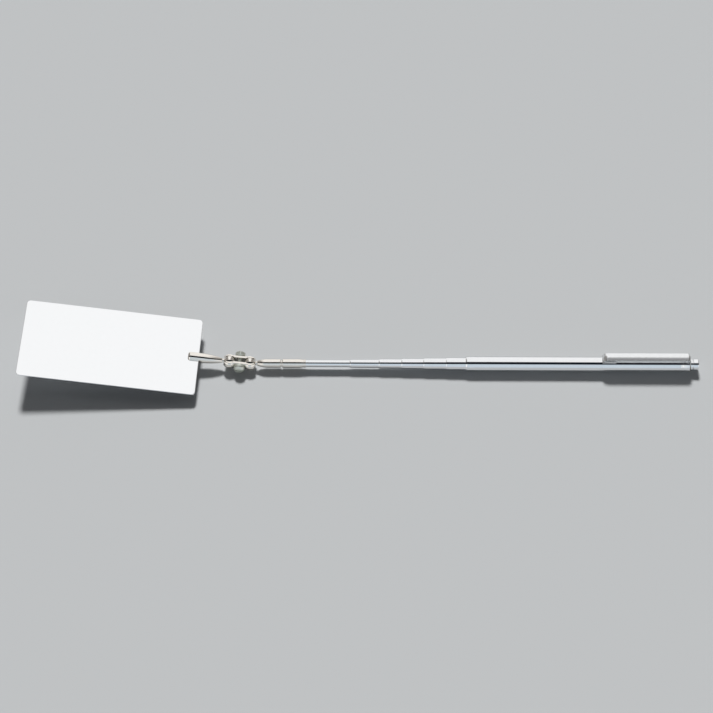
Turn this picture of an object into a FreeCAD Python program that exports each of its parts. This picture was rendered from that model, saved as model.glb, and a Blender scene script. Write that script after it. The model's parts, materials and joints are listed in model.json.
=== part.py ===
import FreeCAD, Part
import math
import os
import re

import Sketcher

# A telescoping inspection mirror, in millimetres. The origin is the centre of the end cap's rear face, +X points
# out of that face along the handle's axis, and +Z is up, so the mirror lies at -X. Each piece is drawn with its own
# X running from the cap towards the mirror, and is then placed by TOOL, which turns it round.

os.makedirs("parts", exist_ok=True)
doc = FreeCAD.newDocument("InspectionMirror")
Vector = FreeCAD.Vector
Rotation = FreeCAD.Rotation
Placement = FreeCAD.Placement

# ---------------------------------------------------------------------------------------------------------------
# Driving dimensions
# ---------------------------------------------------------------------------------------------------------------

SIZES = [
    ("handle_diameter", 7.8, "outside of the handle tube"),
    ("handle_wall", 0.45, "wall of the handle tube"),
    ("handle_length", 113.5, "handle tube, end to mouth"),
    ("handle_mouth_edge", 0.25, "wall left at the handle's rolled mouth"),
    ("bead_width", 1.2, "bead rolled over the end plug"),
    ("bead_height", 0.2, "bead above the tube"),
    ("bead_from_end", 3.8, "tube's rear end to the bead's middle"),
    ("tube_wall", 0.2, "wall of the five inner tubes"),
    ("tip_wall", 0.3, "wall of the tip rod"),
    ("tube_gap", 0.1, "radial gap between a tube and the bore it slides in"),
    ("lip_length", 1.4, "length of a rolled mouth"),
    ("lip_clearance", 0.03, "radial running fit of a tube in a mouth"),
    ("mouth_edge", 0.08, "wall left at an inner tube's mouth"),
    ("seat_depth", 0.12, "swaged depth of a friction sleeve's seat"),
    ("seat_flange", 0.6, "end flange behind the seat"),
    ("seat_slope", 0.5, "length of the step inside the tube at the seat"),
    ("sleeve_length", 6, "friction sleeve"),
    ("sleeve_slit", 0.8, "slit along a friction sleeve"),
    ("sleeve_play", 0.1, "end play of a sleeve in its seat"),
    ("sleeve_seat_fit", 0.01, "radial fit of a sleeve on its seat"),
    ("sleeve_bore_fit", 0.02, "radial fit of a sleeve in the outer bore"),
    ("nested_step", 1.5, "how far each mouth stands out of the next when pushed in"),
    ("stop_gap", 0.5, "gap left at both ends of each slide's travel"),
    ("drawn_1", 10, "section 1 drawn out of the handle"),
    ("drawn_2", 11.5, "section 2 drawn out of section 1"),
    ("drawn_3", 11.1, "section 3 drawn out of section 2"),
    ("drawn_4", 11.5, "section 4 drawn out of section 3"),
    ("drawn_5", 14.7, "section 5 drawn out of section 4"),
    ("drawn_6", 22.3, "ferrule's nose from the mouth of section 5"),
    ("cap_radius", 3.1, "end cap's head and flange"),
    ("cap_head", 2.8, "length of the cap's head"),
    ("cap_edge", 0.5, "rounding of the cap's rear edge"),
    ("cap_groove", 0.4, "width of the cap's groove"),
    ("cap_groove_depth", 0.6, "depth of the cap's groove"),
    ("cap_flange", 1.1, "length of the cap's flange"),
    ("cap_thread_radius", 1.5, "cap's threaded shank"),
    ("cap_thread_length", 5, "cap's threaded shank, past the lug"),
    ("plug_length", 6, "end plug"),
    ("press_fit", 0.01, "radial clearance of a pressed or soldered piece"),
    ("thread_fit", 0.02, "radial clearance of a plain-modelled thread"),
    ("clip_width", 4.5, "pocket clip"),
    ("clip_sheet", 0.5, "sheet of the pocket clip"),
    ("clip_length", 44.9, "pocket clip along the handle"),
    ("clip_rise", 0.7, "crown of the clip above its edges"),
    ("clip_space", 2.1, "clip's edges above the top of the handle tube"),
    ("clip_slope", 3.0, "length of the curved front end"),
    ("clip_front_radius", 3.0, "curve of the front end down to the hem"),
    ("clip_nose", 0.35, "setback of the front end's lower corner"),
    ("clip_bend", 1.6, "bend between the clip and its lug"),
    ("clip_leg", 0.9, "clip's front leg, front to back"),
    ("clip_leg_corner", 0.8, "corner inside the front leg, below the clip's edges"),
    ("hem_length", 7, "hem folded back under the front end"),
    ("hem_clearance", 0.03, "hem above the handle tube"),
    ("ferrule_length", 12, "ferrule"),
    ("ferrule_wall", 0.45, "ferrule's outside, above the tip rod"),
    ("ferrule_taper", 2.4, "length of the ferrule's taper"),
    ("nose_ring_length", 0.9, "ring at the ferrule's nose"),
    ("nose_ring_wall", 0.27, "ring at the ferrule's nose, above the tip rod"),
    ("nose_wall", 0.13, "ferrule behind the nose ring, above the tip rod"),
    ("rod_in_ferrule", 5, "tip rod's length inside the ferrule"),
    ("ferrule_web", 1.3, "solid web between the rod's bore and the swivel's bore"),
    ("ferrule_lip", 0.7, "rolled end that holds the swivel pin's head"),
    ("ferrule_chamfer", 0.25, "chamfer at the ferrule's swivel end"),
    ("swivel_fit", 0.05, "radial and end clearance of the swivel pins"),
    ("pin_radius", 1.2, "swivel pin in the ferrule"),
    ("pin_head_radius", 1.5, "head of the swivel pin"),
    ("pin_head_length", 0.8, "head of the swivel pin"),
    ("pin_end_gap", 0.3, "swivel pin's head to the end of its bore"),
    ("waist_length", 0.6, "waist between ferrule and rod stem"),
    ("waist_radius", 1.7, "waist between ferrule and rod stem"),
    ("waist_gap", 0.1, "running gap between ferrule and waist"),
    ("ball_radius", 2.8, "both balls"),
    ("neck_radius", 1.0, "neck and shank of a ball stud"),
    ("shank_reach", 8.2, "ball's centre to the end of the stud's shank"),
    ("shank_head_radius", 1.4, "head on the stud's shank"),
    ("shank_head_length", 1.2, "head on the stud's shank"),
    ("nose_reach", 3.8, "ball's centre to the nose of a stem"),
    ("stem_nose_radius", 1.25, "nose of a stem"),
    ("rod_stem_radius", 2.25, "rod stem's outside"),
    ("rod_ogive", 5.2, "curved part of the rod stem"),
    ("rod_stem_end", 15.7, "ball's centre to the rod stem's shoulder"),
    ("mirror_stem_radius", 2.55, "mirror stem's outside"),
    ("mirror_ogive", 11, "curved part of the mirror stem"),
    ("mirror_stem_end", 21.2, "ball's centre to the end of the mirror stem's jaws"),
    ("jaw_rounding", 1.3, "rounding of the jaws' end"),
    ("slot_fit", 0.01, "clearance of the mirror plate in the jaws, each side"),
    ("mirror_reach", 15.6, "ball's centre to the mirror's edge"),
    ("mirror_length", 90, "mirror plate"),
    ("mirror_width", 45, "mirror plate"),
    ("mirror_thickness", 1.0, "mirror plate"),
    ("mirror_corner", 2, "corner radius of the mirror plate"),
    ("mirror_edge", 0.2, "rounding of the mirror plate's edges"),
    ("ball_spacing", 10.4, "between the two balls"),
    ("socket_fit", 0.03, "radial clearance of a ball in its sockets"),
    ("clamp_outer_radius", 3.75, "outside of a clamp plate's bow round a ball"),
    ("clamp_wall", 1.3, "thickness of a clamp plate"),
    ("clamp_height", 4.4, "clamp plates across"),
    ("clamp_seat", 2.6, "screw seat from the clamp's middle plane"),
    ("clamp_rounding", 0.35, "rounding of a clamp plate's outer edges"),
    ("clamp_wrap", 52, "degrees that a bow wraps past its ball"),
    ("screw_radius", 1.25, "clamp screw's shank"),
    ("screw_hole_fit", 0.1, "radial clearance of the screw in the plates"),
    ("screw_head_radius", 2.8, "clamp screw's head, at its widest"),
    ("screw_head_height", 2.8, "clamp screw's head"),
    ("screw_head_flat", 1.2, "flat top of the screw's head, radius"),
    ("screw_head_rim", 1.2, "seat to the widest part of the screw's head"),
    ("screw_head_undercut", 0.4, "how far the head's seat is drawn in"),
    ("screw_slot_width", 0.6, "slot in the screw's head"),
    ("screw_slot_depth", 0.9, "slot in the screw's head"),
    ("screw_end", 0.3, "screw's end beyond the nut"),
    ("screw_end_chamfer", 0.3, "chamfer at the screw's end"),
    ("washer_radius", 2.35, "spring washer's outside"),
    ("washer_thickness", 0.6, "spring washer"),
    ("washer_slit", 0.5, "split in the spring washer"),
    ("washer_fit", 0.08, "radial clearance of washer on screw"),
    ("nut_flats", 5.0, "nut across flats"),
    ("nut_height", 2.0, "nut"),
    ("nut_chamfer", 0.3, "chamfer of the nut's corners, along its axis"),
    ("corner_margin", 0.01, "nut's turned blank outside its corners"),
    ("nut_face_inset", 0.1, "nut's round face inside its flats"),
    ("head_yaw", 3, "degrees that the swivel and mirror turn to the far side"),
    ("clamp_pitch", 5, "degrees that the clamp rises"),
    ("mirror_pitch", 6.7, "degrees that the mirror rises towards its far end"),
    ("mirror_roll", 3.6, "degrees that the mirror tips about its stem"),
    ("cutter_margin", 1, "how far a cutting outline runs past the piece"),
]

sheet = doc.addObject("Spreadsheet::Sheet", "Sizes")
for row, (alias, size, meaning) in enumerate(SIZES, start=1):
    sheet.set(f"A{row}", alias)
    sheet.set(f"B{row}", str(size))
    sheet.set(f"C{row}", meaning)
    sheet.setAlias(f"B{row}", alias)
doc.recompute()

ALIAS = re.compile(r"\b(" + "|".join(alias for alias, _, _ in SIZES) + r")\b")


def linked(text):
    """The expression with each alias pointing at its cell in the sheet."""
    return ALIAS.sub(r"Sizes.\1", text)


def number(text):
    """The expression's value."""
    value = sheet.evalExpression(linked(text))
    return float(getattr(value, "Value", value))


# ---------------------------------------------------------------------------------------------------------------
# Building blocks
# ---------------------------------------------------------------------------------------------------------------


def arc_between(start, end, radius, side):
    """The arc under half a turn from start to end that bulges to the left (side 1) or the right (side -1).

    Returns the arc, which always runs anticlockwise, and whether it had to be drawn from end to start."""
    chord = end - start
    half = chord.Length / 2
    left = Vector(-chord.y, chord.x, 0).normalize()
    centre = (start + end) / 2 - left * side * math.sqrt(max(radius * radius - half * half, 0))
    first, last = (end, start) if side > 0 else (start, end)
    begin = math.atan2(first.y - centre.y, first.x - centre.x)
    finish = math.atan2(last.y - centre.y, last.x - centre.x)
    circle = Part.Circle(centre, Vector(0, 0, 1), radius)
    return Part.ArcOfCircle(circle, begin, finish), side > 0


def hold_point(sketch, edge, point, axis, text):
    """Ties one coordinate of a point to an expression, or to the sketch's own axis where it is zero."""
    if text == "0":
        sketch.addConstraint(Sketcher.Constraint("PointOnObject", edge, point, -2 if axis == "X" else -1))
        return
    index = sketch.addConstraint(Sketcher.Constraint("Distance" + axis, -1, 1, edge, point, number(text)))
    sketch.setExpression(f"Constraints[{index}]", linked(text))


def draw_outline(sketch, corners):
    """Draws a closed outline through the corners, given as texts (x, y).

    A corner with two more entries (x, y, radius, side) starts an arc to the next corner."""
    points = [Vector(number(corner[0]), number(corner[1]), 0) for corner in corners]
    ends = []
    for index, corner in enumerate(corners):
        start = points[index]
        end = points[(index + 1) % len(points)]
        if len(corner) == 2:
            edge = sketch.addGeometry(Part.LineSegment(start, end))
            ends.append((edge, 1, 2))
            continue
        arc, turned_round = arc_between(start, end, number(corner[2]), corner[3])
        edge = sketch.addGeometry(arc)
        ends.append((edge, 2, 1) if turned_round else (edge, 1, 2))
        radius_index = sketch.addConstraint(Sketcher.Constraint("Radius", edge, number(corner[2])))
        sketch.setExpression(f"Constraints[{radius_index}]", linked(corner[2]))
    for index, corner in enumerate(corners):
        edge, first, _ = ends[index]
        before, _, last = ends[index - 1]
        sketch.addConstraint(Sketcher.Constraint("Coincident", before, last, edge, first))
        hold_point(sketch, edge, first, "X", corner[0])
        hold_point(sketch, edge, first, "Y", corner[1])


def new_sketch(body, plane, corners):
    """A sketch of the outline on one of the body's own origin planes."""
    sketch = body.newObject("Sketcher::SketchObject", body.Name + "_sketch")
    origin_plane = next(item for item in body.Origin.OriginFeatures if item.Role == plane)
    sketch.AttachmentSupport = (origin_plane, [""])
    sketch.MapMode = "FlatFace"
    draw_outline(sketch, corners)
    return sketch


def new_body(label):
    body = doc.addObject("PartDesign::Body", label)
    body.Label = label
    return body


def turned(label, corners, placement):
    """A body turned about its own X axis: the corners are (distance along X, radius)."""
    body = new_body(label)
    sketch = new_sketch(body, "XZ_Plane", corners)
    revolution = body.newObject("PartDesign::Revolution", label + "_turned")
    revolution.Profile = sketch
    revolution.ReferenceAxis = (sketch, ["H_Axis"])
    revolution.Angle = 360
    body.Placement = placement
    return body


def add_pad(body, plane, corners, length, start=None):
    """Pads an outline, evenly to both sides of its plane, or forwards from a distance along X."""
    sketch = new_sketch(body, plane, corners)
    pad = body.newObject("PartDesign::Pad", body.Name + "_pad")
    pad.Profile = sketch
    pad.setExpression("Length", linked(length))
    if start is None:
        pad.Midplane = True
    else:
        sketch.setExpression("AttachmentOffset.Base.z", linked(start))
    return pad


def add_pocket(body, plane, corners):
    """Cuts an outline right through the body, to both sides of its plane."""
    before = body.Shape.Volume
    sketch = new_sketch(body, plane, corners)
    pocket = body.newObject("PartDesign::Pocket", body.Name + "_pocket")
    pocket.Profile = sketch
    pocket.Type = "ThroughAll"
    pocket.Midplane = True
    doc.recompute()
    if body.Shape.Volume >= before - 1e-6:
        raise RuntimeError(body.Label + ": the pocket cuts nothing")
    return pocket


def round_edges(body, radius, chosen):
    """Rounds those edges of the body's last feature that the test chooses."""
    base = body.Tip
    names = [f"Edge{index}" for index, edge in enumerate(base.Shape.Edges, start=1) if chosen(edge)]
    fillet = body.newObject("PartDesign::Fillet", body.Name + "_rounding")
    fillet.Base = (base, names)
    fillet.setExpression("Radius", linked(radius))
    return fillet


def cylinder(name, radius, height, placement, angle="360"):
    """A plain cylinder along its own Z axis, or a sector of one."""
    part = doc.addObject("Part::Cylinder", name)
    part.setExpression("Radius", linked(radius))
    part.setExpression("Height", linked(height))
    part.setExpression("Angle", linked(angle))
    part.Placement = placement
    return part


def cut(label, base, tool):
    result = doc.addObject("Part::Cut", label)
    result.Base = base
    result.Tool = tool
    result.Label = label
    return result


def split_ring(label, outer, inner, length, slit, placement):
    """A ring along its own Z axis with a lengthwise slit."""
    angle = f"360 deg - 2 * asin({slit} / (2 * ({outer})))"
    ring = cylinder(label + "_ring", outer, length, placement, angle)
    bore = cylinder(label + "_bore", inner, length, placement)
    return cut(label, ring, bore)


TOOL = Placement(Vector(0, 0, 0), Rotation(180, 0, 0))
Z_TO_X = Placement(Vector(0, 0, 0), Rotation(Vector(0, 1, 0), 90))


def along(x, yaw=0):
    """A place on the tool's axis, so far from the cap's face, turned about Z."""
    return TOOL * Placement(Vector(number(x), 0, 0), Rotation(yaw, 0, 0))

# ---------------------------------------------------------------------------------------------------------------
# Stations along the tool, as expressions
# ---------------------------------------------------------------------------------------------------------------

SECTIONS = 6
NEAR = 0.001
HANDLE_RADIUS = "handle_diameter / 2"
HANDLE_BORE = "(handle_diameter / 2 - handle_wall)"
CAP_LENGTH = "(cap_head + cap_groove + cap_flange)"
HANDLE_END = f"({CAP_LENGTH} + clip_sheet)"
SEAT_ZONE = "(sleeve_length + 2 * sleeve_play + seat_flange)"


def section_radius(section):
    """Outside radius of telescoping section 1 to 6."""
    return f"({HANDLE_BORE} - tube_gap - {section - 1} * (tube_wall + tube_gap))"


def mouth(section):
    """X of the mouth of section 0 (the handle) to 5, and of the ferrule's nose for section 6."""
    drawn = " + ".join(f"drawn_{index}" for index in range(1, section + 1))
    return f"({HANDLE_END} + handle_length + {drawn})" if drawn else f"({HANDLE_END} + handle_length)"


def section_length(section):
    """Length of section 1 to 6, so that pushed in it stops just short of what lies behind it."""
    later = f"{section - 1} * ({SEAT_ZONE} + stop_gap - nested_step)"
    return f"(handle_length - plug_length - stop_gap + nested_step - {later})"


FERRULE_END = f"({mouth(6)} + ferrule_length)"
ROD_BALL = f"({FERRULE_END} + waist_gap + waist_length + rod_stem_end)"

# ---------------------------------------------------------------------------------------------------------------
# Handle
# ---------------------------------------------------------------------------------------------------------------


def build_handle_tube():
    """Tube with a bead over the end plug and a mouth rolled in to guide section 1."""
    drop = "(handle_wall + tube_gap - lip_clearance - handle_mouth_edge)"
    lip_bore = f"({section_radius(1)} + lip_clearance)"
    bead_arc = "(bead_width ^ 2 / 4 + bead_height ^ 2) / (2 * bead_height)"
    lip_arc = f"(lip_length ^ 2 + {drop} ^ 2) / (2 * {drop})"
    corners = [
        (HANDLE_END, HANDLE_BORE),
        (HANDLE_END, HANDLE_RADIUS),
        (f"{HANDLE_END} + bead_from_end - bead_width / 2", HANDLE_RADIUS, bead_arc, 1),
        (f"{HANDLE_END} + bead_from_end + bead_width / 2", HANDLE_RADIUS),
        (f"{mouth(0)} - lip_length", HANDLE_RADIUS, lip_arc, 1),
        (mouth(0), f"{HANDLE_RADIUS} - {drop}"),
        (mouth(0), lip_bore),
        (f"{mouth(0)} - lip_length / 2", lip_bore),
        (f"{mouth(0)} - lip_length", HANDLE_BORE),
    ]
    return turned("handle_tube", corners, along("0"))


def build_end_plug():
    """Plug pressed into the handle's rear end, bored for the cap's thread."""
    corners = [
        (HANDLE_END, "cap_thread_radius + thread_fit"),
        (HANDLE_END, f"{HANDLE_BORE} - press_fit"),
        (f"{HANDLE_END} + plug_length", f"{HANDLE_BORE} - press_fit"),
        (f"{HANDLE_END} + plug_length", "cap_thread_radius + thread_fit"),
    ]
    return turned("end_plug", corners, along("0"))


def build_end_cap():
    """Round button with a groove and a flange, on a threaded shank."""
    groove_radius = "cap_radius - cap_groove_depth"
    shank_end = f"{HANDLE_END} + cap_thread_length"
    corners = [
        ("0", "0"),
        ("0", "cap_radius - cap_edge", "cap_edge", 1),
        ("cap_edge", "cap_radius"),
        ("cap_head", "cap_radius"),
        ("cap_head", groove_radius),
        ("cap_head + cap_groove", groove_radius),
        ("cap_head + cap_groove", "cap_radius"),
        (CAP_LENGTH, "cap_radius"),
        (CAP_LENGTH, "cap_thread_radius"),
        (shank_end, "cap_thread_radius"),
        (shank_end, "0"),
    ]
    return turned("end_cap", corners, along("0"))


def build_pocket_clip():
    """Arched strip over the handle, with a lug clamped under the cap and a hem that lies on the tube."""
    body = new_body("pocket_clip_blank")
    half = "clip_width / 2"
    edge_under = f"({HANDLE_RADIUS} + clip_space)"
    edge_top = f"({edge_under} + clip_sheet)"
    crown = f"({edge_top} + clip_rise)"
    above = f"({crown} + cutter_margin)"
    beside = f"({half} + cutter_margin)"
    arch = "(clip_width ^ 2 / 4 + clip_rise ^ 2) / (2 * clip_rise)"
    lug = [
        (f"-({half})", edge_under),
        (f"-({half})", "0", half, -1),
        ("0", f"-({half})", half, -1),
        (half, "0"),
        (half, edge_top, arch, -1),
        (f"-({half})", edge_top),
    ]
    add_pad(body, "YZ_Plane", lug, "clip_sheet", CAP_LENGTH)
    strip = [
        (half, edge_under),
        (half, edge_top, arch, -1),
        (f"-({half})", edge_top),
        (f"-({half})", edge_under, arch, 1),
    ]
    add_pad(body, "YZ_Plane", strip, "clip_length - clip_slope", CAP_LENGTH)
    front = f"({CAP_LENGTH} + clip_length)"
    joined = f"({front} - clip_slope - clip_sheet)"
    hem_under = f"({HANDLE_RADIUS} + hem_clearance)"
    hem_top = f"({hem_under} + clip_sheet)"
    nose = [
        (joined, crown),
        (f"{front} - clip_slope", crown, "clip_front_radius", 1),
        (front, hem_top),
        (f"{front} - clip_nose", hem_under),
        (f"{front} - hem_length", hem_under),
        (f"{front} - hem_length", hem_top),
        (f"{front} - clip_leg", hem_top),
        (f"{front} - clip_leg", f"{edge_under} - clip_leg_corner"),
        (joined, edge_under),
    ]
    add_pad(body, "XZ_Plane", nose, "clip_width")
    doc.recompute()
    for side, bulge in (("", 1), ("-", -1)):
        shoulder = [
            ("0", crown, arch, bulge),
            (f"{side}({half})", edge_top),
            (f"{side}{beside}", edge_top),
            (f"{side}{beside}", above),
            ("0", above),
        ]
        add_pocket(body, "YZ_Plane", shoulder)
    bend = [
        (CAP_LENGTH, above),
        (CAP_LENGTH, f"{crown} - clip_bend", "clip_bend", 1),
        (f"{CAP_LENGTH} + clip_bend", crown),
        (f"{CAP_LENGTH} + clip_bend", above),
    ]
    add_pocket(body, "XZ_Plane", bend)
    body.Placement = TOOL
    hole = cylinder("pocket_clip_hole", "cap_thread_radius + thread_fit", HANDLE_END, TOOL * Z_TO_X)
    return cut("pocket_clip", body, hole)


# ---------------------------------------------------------------------------------------------------------------
# Telescoping sections
# ---------------------------------------------------------------------------------------------------------------


def build_section_tube(section):
    """Tube with a rolled mouth in front and the swaged seat of its friction sleeve at the rear."""
    outside = section_radius(section)
    bore = f"({outside} - tube_wall)"
    drop = "(tube_wall + tube_gap - lip_clearance - mouth_edge)"
    lip_bore = f"({section_radius(section + 1)} + lip_clearance)"
    lip_arc = f"(lip_length ^ 2 + {drop} ^ 2) / (2 * {drop})"
    front = mouth(section)
    rear = f"({front} - {section_length(section)})"
    corners = [
        (rear, f"{bore} - seat_depth"),
        (rear, outside),
        (f"{rear} + seat_flange", outside),
        (f"{rear} + seat_flange", f"{outside} - seat_depth"),
        (f"{rear} + {SEAT_ZONE}", f"{outside} - seat_depth"),
        (f"{rear} + {SEAT_ZONE}", outside),
        (f"{front} - lip_length", outside, lip_arc, 1),
        (front, f"{outside} - {drop}"),
        (front, lip_bore),
        (f"{front} - lip_length / 2", lip_bore),
        (f"{front} - lip_length", bore),
        (f"{rear} + {SEAT_ZONE} + seat_slope", bore),
        (f"{rear} + {SEAT_ZONE}", f"{bore} - seat_depth"),
    ]
    return turned(f"section_tube_{section}", corners, along("0"))


def build_tip_rod():
    """The thinnest tube: its front end is soldered into the ferrule."""
    outside = section_radius(6)
    bore = f"({outside} - tip_wall)"
    front = f"({mouth(6)} + rod_in_ferrule)"
    rear = f"({mouth(6)} - {section_length(6)})"
    corners = [
        (rear, f"{bore} - seat_depth"),
        (rear, outside),
        (f"{rear} + seat_flange", outside),
        (f"{rear} + seat_flange", f"{outside} - seat_depth"),
        (f"{rear} + {SEAT_ZONE}", f"{outside} - seat_depth"),
        (f"{rear} + {SEAT_ZONE}", outside),
        (front, outside),
        (front, bore),
        (f"{rear} + {SEAT_ZONE} + seat_slope", bore),
        (f"{rear} + {SEAT_ZONE}", f"{bore} - seat_depth"),
    ]
    return turned("tip_rod", corners, along("0"))


def build_friction_sleeve(section):
    """Split sleeve on a section's rear seat: it rubs in the bore outside and stops behind the mouth's lip."""
    outside = section_radius(section)
    inner = f"({outside} - seat_depth + sleeve_seat_fit)"
    outer = f"({outside} + tube_gap - sleeve_bore_fit)"
    start = f"({mouth(section)} - {section_length(section)} + seat_flange + sleeve_play)"
    place = along(start) * Z_TO_X
    return split_ring(f"friction_sleeve_{section}", outer, inner, "sleeve_length", "sleeve_slit", place)


# ---------------------------------------------------------------------------------------------------------------
# Ferrule, stems and ball studs
# ---------------------------------------------------------------------------------------------------------------


def build_ferrule():
    """Nose piece: bored for the tip rod in front and for the swivel pin behind, and rolled in over its head."""
    nose = mouth(6)
    rod = section_radius(6)
    rod_bore = f"({rod} + press_fit)"
    outside = f"({rod} + ferrule_wall)"
    pin_bore = "(pin_head_radius + swivel_fit)"
    lip_bore = "(pin_radius + swivel_fit)"
    web_start = f"{nose} + rod_in_ferrule"
    web_end = f"{web_start} + ferrule_web"
    corners = [
        (nose, rod_bore),
        (nose, f"{rod} + nose_ring_wall"),
        (f"{nose} + nose_ring_length", f"{rod} + nose_ring_wall"),
        (f"{nose} + nose_ring_length", f"{rod} + nose_wall"),
        (f"{nose} + nose_ring_length + ferrule_taper", outside),
        (f"{FERRULE_END} - ferrule_chamfer", outside),
        (FERRULE_END, f"{outside} - ferrule_chamfer"),
        (FERRULE_END, lip_bore),
        (f"{FERRULE_END} - ferrule_lip", lip_bore),
        (f"{FERRULE_END} - ferrule_lip", pin_bore),
        (web_end, pin_bore),
        (web_end, "0"),
        (web_start, "0"),
        (web_start, rod_bore),
    ]
    return turned("ferrule", corners, along("0"))


def stem_bore():
    """Corners of the chamber that holds a ball stud's shank, from its far end to the nose."""
    chamber = "(shank_head_radius + swivel_fit)"
    bore = "(neck_radius + swivel_fit)"
    far = "shank_reach + swivel_fit"
    shoulder = "shank_reach - shank_head_length - swivel_fit"
    return [(far, "0"), (far, chamber), (shoulder, chamber), (shoulder, bore), ("nose_reach", bore)]


def ogive_arc(radius, length):
    """Radius of the arc that swells a stem from its nose to its full size, tangent at the full size."""
    swell = f"({radius} - stem_nose_radius)"
    return f"({length} ^ 2 + {swell} ^ 2) / (2 * {swell})"


def build_rod_stem():
    """Stem on the rod side: X runs from the ball towards the ferrule, where its swivel pin turns."""
    waist_end = "(rod_stem_end + waist_length)"
    face = f"({waist_end} + waist_gap)"
    pin_room = "(ferrule_length - rod_in_ferrule - ferrule_web)"
    pin_end = f"({face} + {pin_room} - pin_end_gap)"
    corners = stem_bore() + [
        ("nose_reach", "stem_nose_radius", ogive_arc("rod_stem_radius", "rod_ogive"), 1),
        ("nose_reach + rod_ogive", "rod_stem_radius"),
        ("rod_stem_end", "rod_stem_radius"),
        ("rod_stem_end", "waist_radius"),
        (waist_end, "waist_radius"),
        (waist_end, "pin_radius"),
        (f"{pin_end} - pin_head_length", "pin_radius"),
        (f"{pin_end} - pin_head_length", "pin_head_radius"),
        (pin_end, "pin_head_radius"),
        (pin_end, "0"),
    ]
    return turned("rod_stem", corners, along(ROD_BALL, 180))


def build_ball_stud(label, placement):
    """Ball, neck and headed shank in one turned piece, with the ball's centre at its origin."""
    neck_start = "sqrt(ball_radius ^ 2 - neck_radius ^ 2)"
    head_start = "shank_reach - shank_head_length"
    corners = [
        ("-ball_radius", "0", "ball_radius", 1),
        (neck_start, "neck_radius"),
        (head_start, "neck_radius"),
        (head_start, "shank_head_radius"),
        ("shank_reach", "shank_head_radius"),
        ("shank_reach", "0"),
    ]
    return turned(label, corners, placement)


# ---------------------------------------------------------------------------------------------------------------
# Clamp: its frame has the screw's middle at its origin, the balls along X and the screw along Y
# ---------------------------------------------------------------------------------------------------------------

head_yaw = number("head_yaw")
rod_ball_pose = along(ROD_BALL)
clamp_turn = Placement(Vector(0, 0, 0), Rotation(-head_yaw, -number("clamp_pitch"), 0))
clamp_pose = rod_ball_pose * clamp_turn * Placement(Vector(number("ball_spacing / 2"), 0, 0), Rotation())
mirror_ball_place = clamp_pose * Vector(number("ball_spacing / 2"), 0, 0)
mirror_turn = TOOL.Rotation * Rotation(-head_yaw, -number("mirror_pitch"), -number("mirror_roll"))
mirror_pose = Placement(mirror_ball_place, mirror_turn)


def in_clamp(y, yaw=0, roll=0):
    """A place on the screw's axis in the clamp's frame."""
    return clamp_pose * Placement(Vector(0, number(y), 0), Rotation(yaw, 0, roll))


def build_clamp_plate(label, side):
    """One half of the clamp: a strip bowed round both balls, with a ball socket in each bow."""
    body = new_body(label + "_blank")
    inner = "(clamp_outer_radius - clamp_wall)"
    waist = "(clamp_seat - clamp_wall)"
    centre = "ball_spacing / 2"
    end_inner = (f"{centre} + {inner} * sin(clamp_wrap)", f"{inner} * cos(clamp_wrap)")
    end_outer = (f"{centre} + clamp_outer_radius * sin(clamp_wrap)", "clamp_outer_radius * cos(clamp_wrap)")
    seat = (f"{centre} - sqrt(clamp_outer_radius ^ 2 - clamp_seat ^ 2)", "clamp_seat")
    gap = (f"{centre} - sqrt({inner} ^ 2 - {waist} ^ 2)", waist)
    half = [
        end_inner,
        (*end_outer, "clamp_outer_radius", 1),
        seat,
    ]
    other = [
        (*seat, "clamp_outer_radius", 1),
        end_outer,
        (*end_inner, inner, -1),
        gap,
    ]

    def placed(corner, mirrored):
        x, y = corner[0], corner[1]
        x = f"-({x})" if mirrored else x
        y = f"-({y})" if side < 0 else y
        if len(corner) == 2:
            return (x, y)
        return (x, y, corner[2], -corner[3] * side)

    corners = [placed(corner, False) for corner in half]
    corners += [placed(corner, True) for corner in other]
    corners.append(placed((*gap, inner, -1), False))
    add_pad(body, "XY_Plane", corners, "clamp_height")
    doc.recompute()
    top = number("clamp_height / 2")
    outside = number("clamp_seat") - NEAR
    round_edges(
        body,
        "clamp_rounding",
        lambda edge: abs(abs(edge.CenterOfMass.z) - top) < NEAR and edge.CenterOfMass.y * side > outside,
    )
    body.Placement = clamp_pose
    shape = body
    for name, place in (("rod", rod_ball_pose.Base), ("mirror", mirror_ball_place)):
        ball = doc.addObject("Part::Sphere", f"{label}_{name}_socket")
        ball.setExpression("Radius", linked("ball_radius + socket_fit"))
        ball.Placement = Placement(place, clamp_pose.Rotation)
        shape = cut(f"{label}_{name}_cut", shape, ball)
    reach = "(2 * clamp_seat)"
    hole = cylinder(f"{label}_hole", "screw_radius + screw_hole_fit", reach, in_clamp("clamp_seat", 0, 90))
    return cut(label, shape, hole)


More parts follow.
